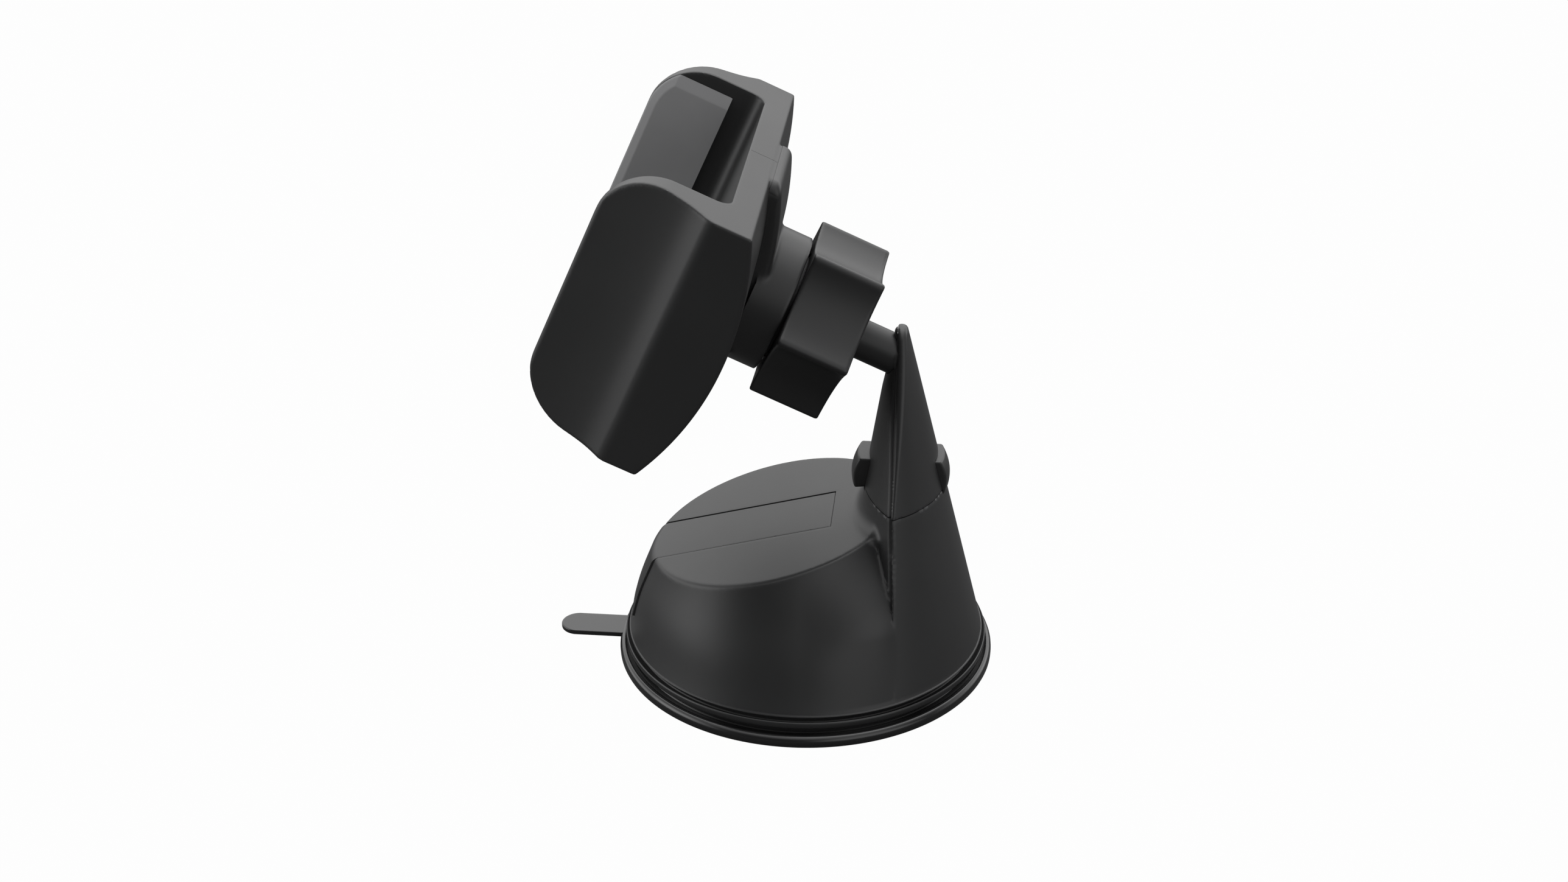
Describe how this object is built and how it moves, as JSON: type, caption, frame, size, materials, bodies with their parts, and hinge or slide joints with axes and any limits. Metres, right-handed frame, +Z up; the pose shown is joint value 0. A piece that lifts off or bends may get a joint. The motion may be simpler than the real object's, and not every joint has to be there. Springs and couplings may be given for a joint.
{
  "type": "car phone mount",
  "caption": "Suction-base car phone mount: lever-locked cup, lift-off fin neck, clamped ball joint and a sprung cradle whose jaws slide apart.",
  "frame": {"origin": "centre of the suction face, on the surface it sticks to", "axes": "+Z up, away from the surface; +X to the side; -Y towards the driver, the side with the pull tab and the phone"},
  "size_m": [0.0884, 0.098, 0.1226],
  "materials": {
    "cup_rubber": "glossy black rubber",
    "ring_plastic": "satin black plastic",
    "screw_steel": "plain steel",
    "spring_steel": "spring steel",
    "housing_plastic": "satin black plastic",
    "lever_plastic": "satin black plastic",
    "inner_plastic": "dark grey plastic",
    "nylon": "natural nylon",
    "neck_plastic": "satin black plastic",
    "button_plastic": "satin black plastic",
    "stem_plastic": "satin black plastic",
    "knob_plastic": "satin black plastic",
    "hub_plastic": "satin black plastic",
    "jaw_plastic": "satin black plastic",
    "pad_rubber": "soft dark grey rubber"
  },
  "bodies": {
    "base": {"base_housing": "housing_plastic", "suction_cup": "cup_rubber", "pressure_ring": "ring_plastic", "ring_screws": "screw_steel", "neck_spigot": "inner_plastic", "cam_washer": "screw_steel", "stem_spring": "spring_steel"},
    "stem": {"suction_stem": "nylon", "lever_pin": "screw_steel"},
    "lever": {"lock_lever": "lever_plastic"},
    "neck": {"neck_front_shell": "neck_plastic", "neck_rear_shell": "neck_plastic", "neck_core": "inner_plastic", "latch_spring": "spring_steel", "ball_stem": "stem_plastic"},
    "front_button": {"latch_button_front": "button_plastic"},
    "rear_button": {"latch_button_rear": "button_plastic"},
    "liner": {"ball_liner": "nylon"},
    "ring": {"clamp_ring": "nylon"},
    "cradle": {"cradle_hub": "hub_plastic", "rail_plate": "inner_plastic", "rail_screws": "screw_steel", "pinion_pin": "screw_steel", "return_spring": "spring_steel"},
    "knob": {"clamp_knob": "knob_plastic"},
    "gear": {"pinion": "nylon"},
    "left_jaw": {"jaw_left": "jaw_plastic", "rack_left": "nylon", "jaw_pad_left": "pad_rubber"},
    "right_jaw": {"jaw_right": "jaw_plastic", "rack_right": "nylon", "jaw_pad_right": "pad_rubber"}
  },
  "joints": [
    {"name": "suction_release", "type": "slide", "parent": "base", "child": "stem", "axis": [0, 0, -1], "range_m": [0, 0.0025], "deforming": ["stem_spring", "suction_cup"]},
    {"name": "lever_flip", "type": "hinge", "parent": "stem", "child": "lever", "pos_m": [0, 0, 0.027], "axis": [-1, 0, 0], "range_deg": [0, 65]},
    {"name": "neck_lift", "type": "slide", "parent": "base", "child": "neck", "axis": [0, 0, 1], "range_m": [0, 0.01]},
    {"name": "front_button_press", "type": "slide", "parent": "neck", "child": "front_button", "axis": [0, 1, 0], "range_m": [0, 0.0016], "stiffness_N_per_m": 600, "springref_m": -0.001},
    {"name": "rear_button_press", "type": "slide", "parent": "neck", "child": "rear_button", "axis": [0, -1, 0], "range_m": [0, 0.0016], "stiffness_N_per_m": 600, "springref_m": -0.001},
    {"name": "ball_tilt", "type": "hinge", "parent": "neck", "child": "liner", "pos_m": [0, 0.00333, 0.0794], "axis": [1, 0, 0], "range_deg": [-20, 20]},
    {"name": "ball_pan", "type": "hinge", "parent": "liner", "child": "ring", "pos_m": [0, 0.00333, 0.0794], "axis": [0, 0.4098, 0.9122], "range_deg": [-20, 20]},
    {"name": "ball_roll", "type": "hinge", "parent": "ring", "child": "cradle", "pos_m": [0, 0.00333, 0.0794], "axis": [0, -0.9122, 0.4098], "continuous": true},
    {"name": "knob_turn", "type": "hinge", "parent": "cradle", "child": "knob", "pos_m": [0, 0.00333, 0.0794], "axis": [0, -0.9122, 0.4098], "range_deg": [0, 360]},
    {"name": "left_jaw_slide", "type": "slide", "parent": "cradle", "child": "left_jaw", "axis": [-1, 0, 0], "range_m": [0, 0.012], "stiffness_N_per_m": 150, "springref_m": -0.01},
    {"name": "right_jaw_slide", "type": "slide", "parent": "cradle", "child": "right_jaw", "axis": [1, 0, 0], "range_m": [0, 0.012]},
    {"name": "pinion_turn", "type": "hinge", "parent": "cradle", "child": "gear", "pos_m": [0, -0.01526, 0.08804], "axis": [0, -0.9122, 0.4098], "range_deg": [0, 115]}
  ],
  "couplings": [
    {"joint": "lever_flip", "follows": "suction_release", "rad_per_m": 453.79},
    {"joint": "right_jaw_slide", "follows": "left_jaw_slide", "ratio": 1},
    {"joint": "pinion_turn", "follows": "left_jaw_slide", "rad_per_m": 166.67}
  ]
}
